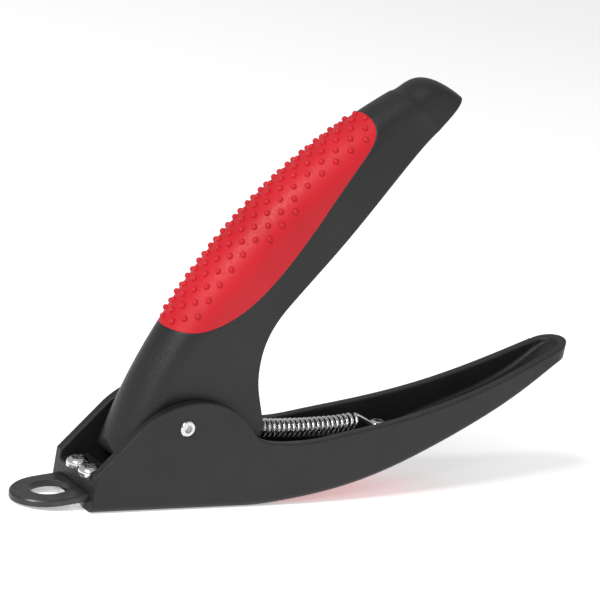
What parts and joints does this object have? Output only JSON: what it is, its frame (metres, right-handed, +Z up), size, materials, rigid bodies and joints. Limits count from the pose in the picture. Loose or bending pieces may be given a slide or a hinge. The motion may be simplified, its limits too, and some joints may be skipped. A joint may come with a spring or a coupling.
{
  "type": "guillotine nail clipper",
  "caption": "Hand-held guillotine nail clipper: sprung lever with grip pad drives a sliding blade behind a flat ring plate.",
  "frame": {"origin": "on the resting face, midway across, directly below the pivot axis", "axes": "+X from the cutting ring towards the tail of the handles, +Y across, +Z up from the resting face"},
  "size_m": [0.1596, 0.0216, 0.1084],
  "materials": {
    "black_plastic": "fine spark-eroded matte",
    "red_grip": "soft matte",
    "black_steel": "blackened, slightly glossy",
    "pin_steel": "ground",
    "bright_steel": "bright plated",
    "white_nylon": "natural nylon",
    "blade_steel": "ground flat",
    "zinc_steel": "zinc plated",
    "spring_steel": "bright wire"
  },
  "bodies": {
    "handle_base": {"lower_handle": "black_plastic", "lower_grip": "red_grip", "pivot_bolt": "bright_steel", "pivot_nut": "bright_steel", "pivot_bush": "pin_steel", "pivot_washer_left": "white_nylon", "pivot_washer_right": "white_nylon", "cutting_ring": "black_steel", "plate_screw_left": "bright_steel", "plate_screw_right": "bright_steel", "return_spring": "spring_steel", "spring_anchor_screw": "bright_steel"},
    "lever": {"upper_handle": "black_plastic", "upper_grip": "red_grip", "drive_pin": "pin_steel", "spring_pin": "pin_steel"},
    "blade_slide": {"blade": "blade_steel", "blade_carrier": "zinc_steel", "carrier_rivets": "zinc_steel"}
  },
  "joints": [
    {"name": "handle_pivot", "type": "hinge", "parent": "handle_base", "child": "lever", "pos_m": [0, 0, 0.021], "axis": [0, 1, 0], "range_deg": [0, 38], "stiffness_Nm_per_rad": 0.05, "springref_deg": -34.38, "deforming": ["return_spring"]},
    {"name": "blade_slide", "type": "slide", "parent": "handle_base", "child": "blade_slide", "axis": [-0.9925, 0, -0.1219], "range_m": [0, 0.0097]}
  ],
  "couplings": [
    {"joint": "blade_slide", "follows": "handle_pivot", "m_per_rad": 0.01457}
  ]
}
